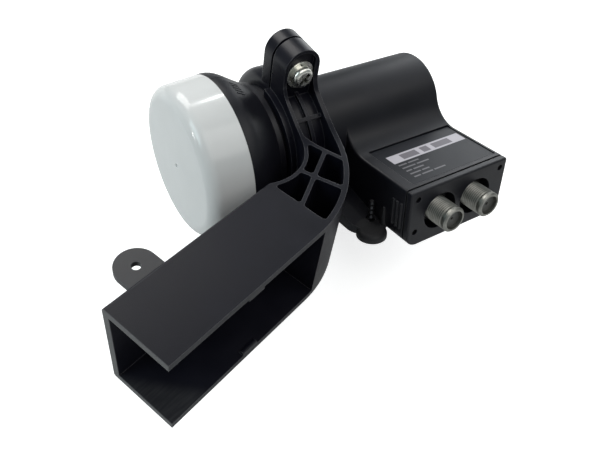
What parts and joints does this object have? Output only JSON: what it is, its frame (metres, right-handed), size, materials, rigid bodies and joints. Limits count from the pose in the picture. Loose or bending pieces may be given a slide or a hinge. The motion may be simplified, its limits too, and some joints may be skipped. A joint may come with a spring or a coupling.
{
  "type": "satellite lnb",
  "caption": "Satellite receiver head with a capped feed horn and threaded cable outlets, clamped in a ribbed plastic elbow bracket whose channel slides onto a dish arm.",
  "frame": {"origin": "centre of the open mouth of the arm channel", "axes": "+X along the channel from its mouth towards the receiver, +Y from the channel's open side towards the feed, +Z the bracket's side normal, which is up in the picture"},
  "size_m": [0.1651, 0.1157, 0.082],
  "materials": {
    "bracket_black": "satin moulded",
    "body_black": "fine satin moulded",
    "cap_white": "semi-gloss",
    "zinc": "bright zinc plate",
    "dark_steel": "black oxide",
    "stud_steel": "dark plated",
    "nickel": "nickel plate",
    "insulator": "smooth",
    "contact_brass": "bright",
    "casting": "as cast",
    "board_green": "solder mask",
    "tinplate": "tin plate",
    "seal_rubber": "matt",
    "label_film": "printed film"
  },
  "bodies": {
    "bracket": {"bracket_arm": "bracket_black", "clamp_half": "bracket_black", "clamp_screws": "zinc", "clamp_washers": "zinc", "lock_washers": "zinc", "clamp_nuts": "zinc"},
    "receiver": {"feed_cap": "cap_white", "feed_shroud": "body_black", "feed_horn": "casting", "cap_seal": "seal_rubber", "rear_housing": "body_black", "connector_plate": "body_black", "plate_seal": "seal_rubber", "plate_screws": "dark_steel", "f_connector_left": "nickel", "f_connector_right": "nickel", "connector_nuts": "dark_steel", "f_insulators": "insulator", "f_contacts": "contact_brass", "circuit_board": "board_green", "board_shield": "tinplate", "board_screws": "zinc", "signal_probes": "contact_brass", "label_plate": "label_film", "earth_stud": "stud_steel"}
  },
  "joints": [
    {"name": "skew_turn", "type": "hinge", "parent": "bracket", "child": "receiver", "pos_m": [0.0797, 0.0433, 0], "axis": [0.9455, -0.3256, 0], "range_deg": [-25, 25]}
  ]
}
